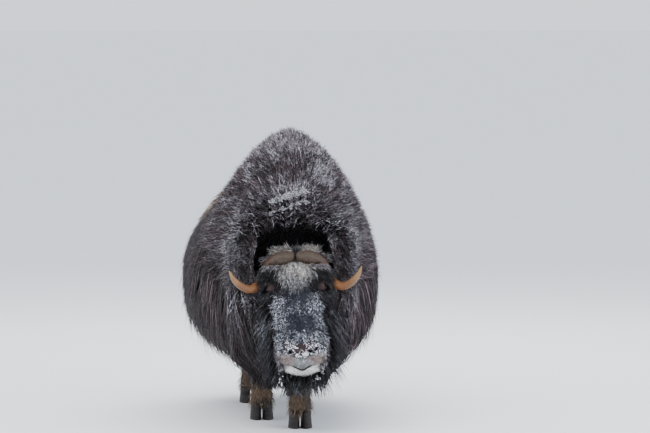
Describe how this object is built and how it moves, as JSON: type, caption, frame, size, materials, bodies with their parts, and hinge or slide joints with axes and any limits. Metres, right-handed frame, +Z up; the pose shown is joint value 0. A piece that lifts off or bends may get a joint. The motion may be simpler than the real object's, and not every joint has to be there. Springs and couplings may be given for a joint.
{
  "type": "muskox",
  "caption": "Life-size muskox bull walking with its head low: long coat to the shins, curly hump and mane, ochre horns curved down and out, cloven hooves.",
  "frame": {"origin": "on the ground below the middle of the body", "axes": "+Z up, +Y to the rear, so the animal faces -Y and its left side is +X"},
  "size_m": [0.9373, 2.1182, 1.3689],
  "materials": {
    "coat": "long dark brown-black guard hair",
    "mane": "curly grey-brown wool with frosted tips",
    "face": "short dark grey fur, frosted, pale at the lips and forehead",
    "stocking": "short tan fur",
    "horn": "ochre horn, ridged at the boss and smooth towards the tips",
    "eye": "wet dark brown",
    "hoof": "worn black horn"
  },
  "bodies": {
    "root": {"head": "face", "ear_left": "face", "ear_right": "face", "eye_left": "eye", "eye_right": "eye", "horn_left": "horn", "horn_right": "horn", "mane_top": "mane", "mane_left": "mane", "mane_right": "mane", "beard": "mane", "neck": "mane", "shoulders": "coat", "barrel": "coat", "rump": "coat", "tail": "coat", "leg_left_fore": "stocking", "leg_right_fore": "stocking", "leg_left_hind": "stocking", "leg_right_hind": "stocking", "hoof_left_fore": "hoof", "hoof_right_fore": "hoof", "hoof_left_hind": "hoof", "hoof_right_hind": "hoof"}
  },
  "joints": []
}
